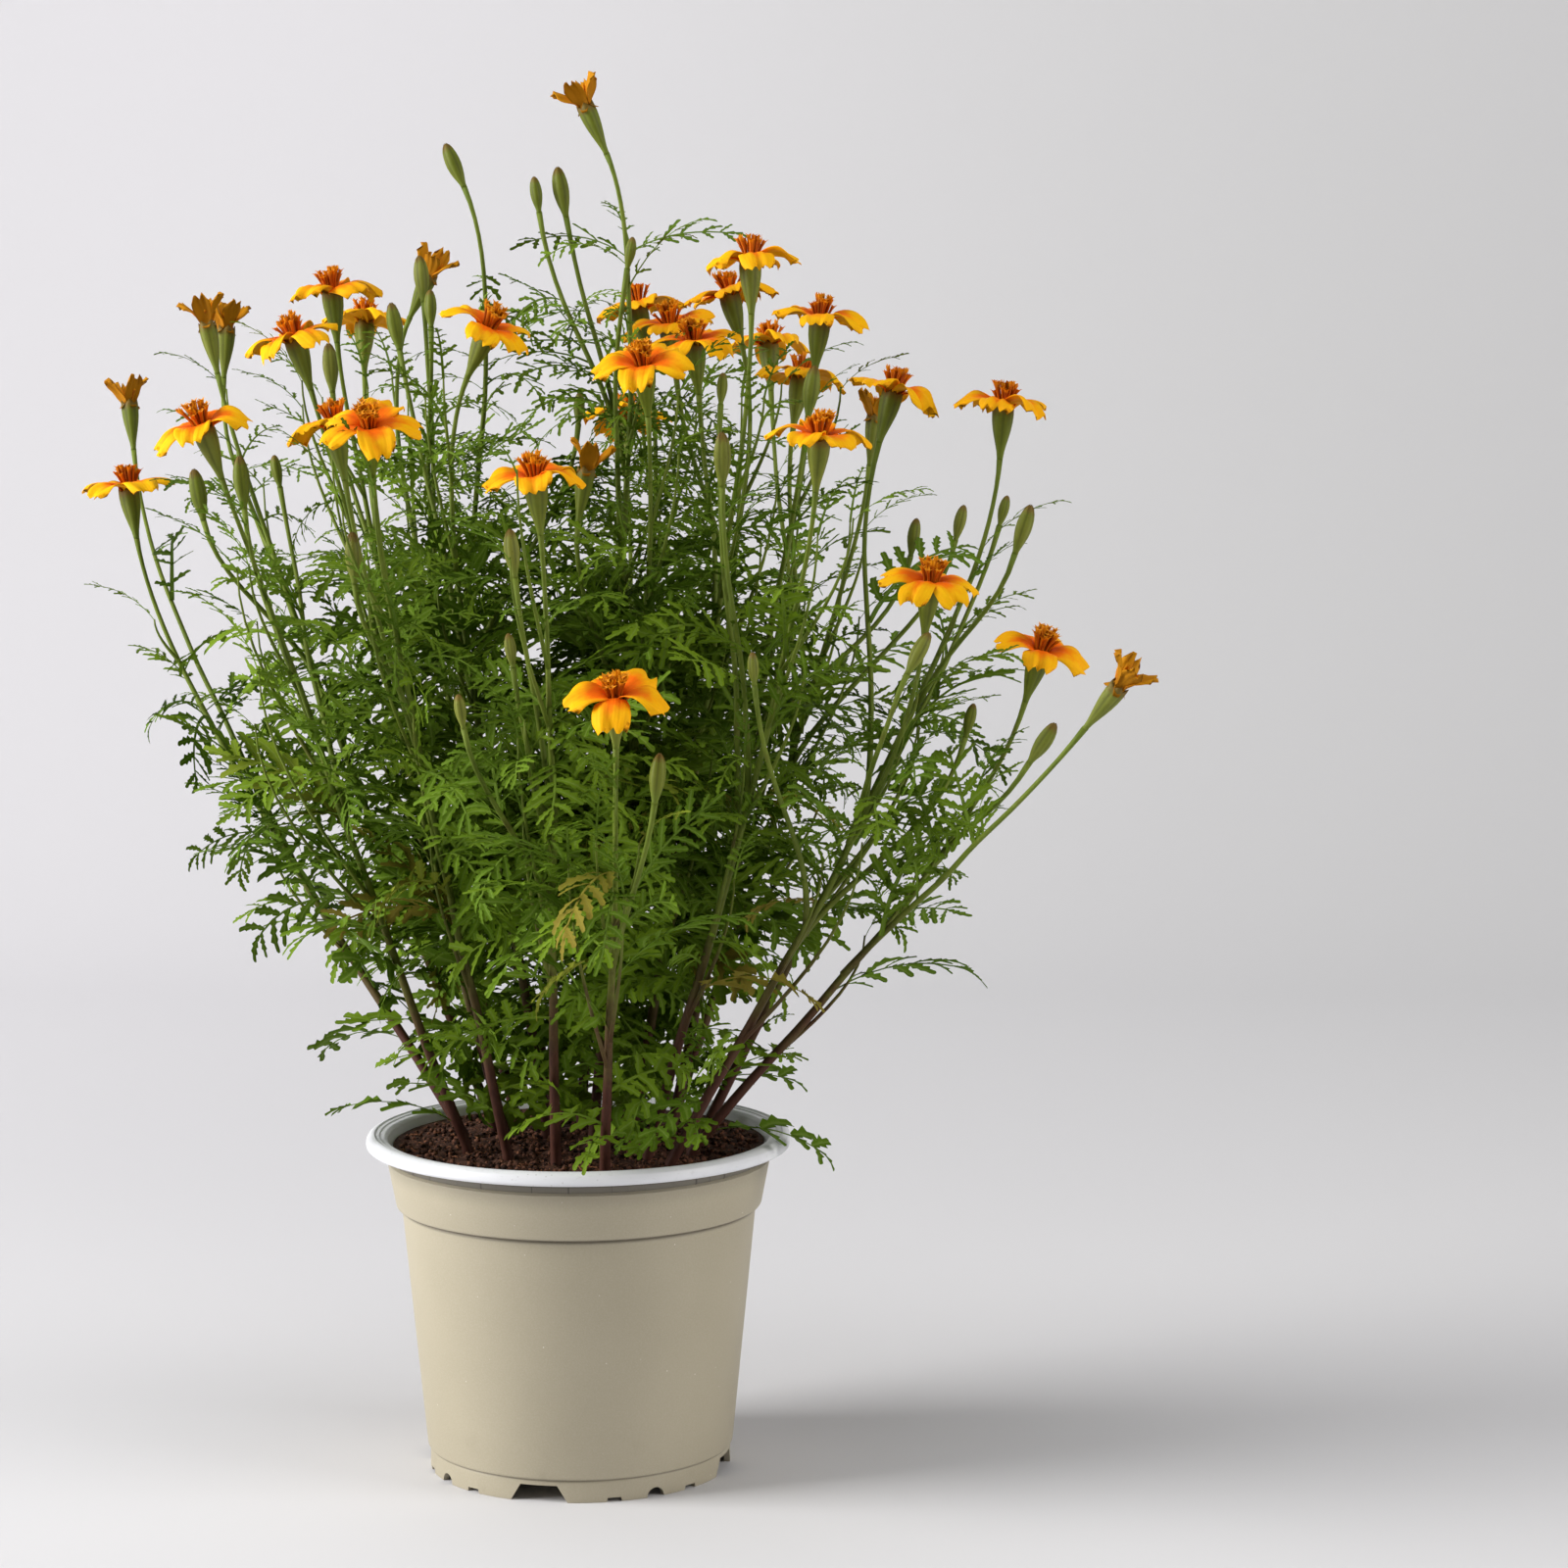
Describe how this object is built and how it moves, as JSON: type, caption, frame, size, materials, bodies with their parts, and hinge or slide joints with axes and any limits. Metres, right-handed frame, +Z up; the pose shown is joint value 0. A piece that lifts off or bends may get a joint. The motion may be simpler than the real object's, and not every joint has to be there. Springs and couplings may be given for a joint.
{
  "type": "potted flowering plant",
  "caption": "Signet marigold with finely cut leaves and small orange-yellow blooms, growing in a round tapered plastic nursery pot with a pale rim.",
  "frame": {"origin": "on the surface that the pot rests on, on the pot's axis, under the middle of the plant", "axes": "+Z up along the pot's axis; -Y towards the side that the picture shows; +X to the right seen from there"},
  "size_m": [0.3268, 0.2754, 0.4258],
  "materials": {
    "pot_body": "satin taupe",
    "rim": "pale grey, slightly glossy",
    "soil": "dark, rough and fibrous",
    "greenery": "matte leaf surface",
    "petals": "soft matte petal surface"
  },
  "bodies": {
    "root": {"pot": "pot_body", "pot_rim": "rim", "soil": "soil", "leafy_stem_01": "greenery", "leafy_stem_02": "greenery", "leafy_stem_03": "greenery", "leafy_stem_04": "greenery", "leafy_stem_05": "greenery", "leafy_stem_06": "greenery", "leafy_stem_07": "greenery", "leafy_stem_08": "greenery", "leafy_stem_09": "greenery", "leafy_stem_10": "greenery", "leafy_stem_11": "greenery", "leafy_stem_12": "greenery", "leafy_stem_13": "greenery", "leafy_stem_14": "greenery", "leafy_stem_15": "greenery", "leafy_stem_16": "greenery", "leafy_stem_17": "greenery", "leafy_stem_18": "greenery", "leafy_stem_19": "greenery", "leafy_stem_20": "greenery", "leafy_stem_21": "greenery", "bloom_01": "petals", "bloom_02": "petals", "bloom_03": "petals", "bloom_04": "petals", "bloom_05": "petals", "bloom_06": "petals", "bloom_07": "petals", "bloom_08": "petals", "bloom_09": "petals", "bloom_10": "petals", "bloom_11": "petals", "bloom_12": "petals", "bloom_13": "petals", "bloom_14": "petals", "bloom_15": "petals", "bloom_16": "petals", "bloom_17": "petals", "bloom_18": "petals", "bloom_19": "petals", "bloom_20": "petals", "bloom_21": "petals", "bloom_22": "petals", "bloom_23": "petals", "bloom_24": "petals", "bloom_25": "petals", "bloom_26": "petals", "bloom_27": "petals", "bloom_28": "petals", "bloom_29": "petals", "bloom_30": "petals", "bloom_31": "petals", "bloom_32": "petals", "bloom_33": "petals"}
  },
  "joints": []
}
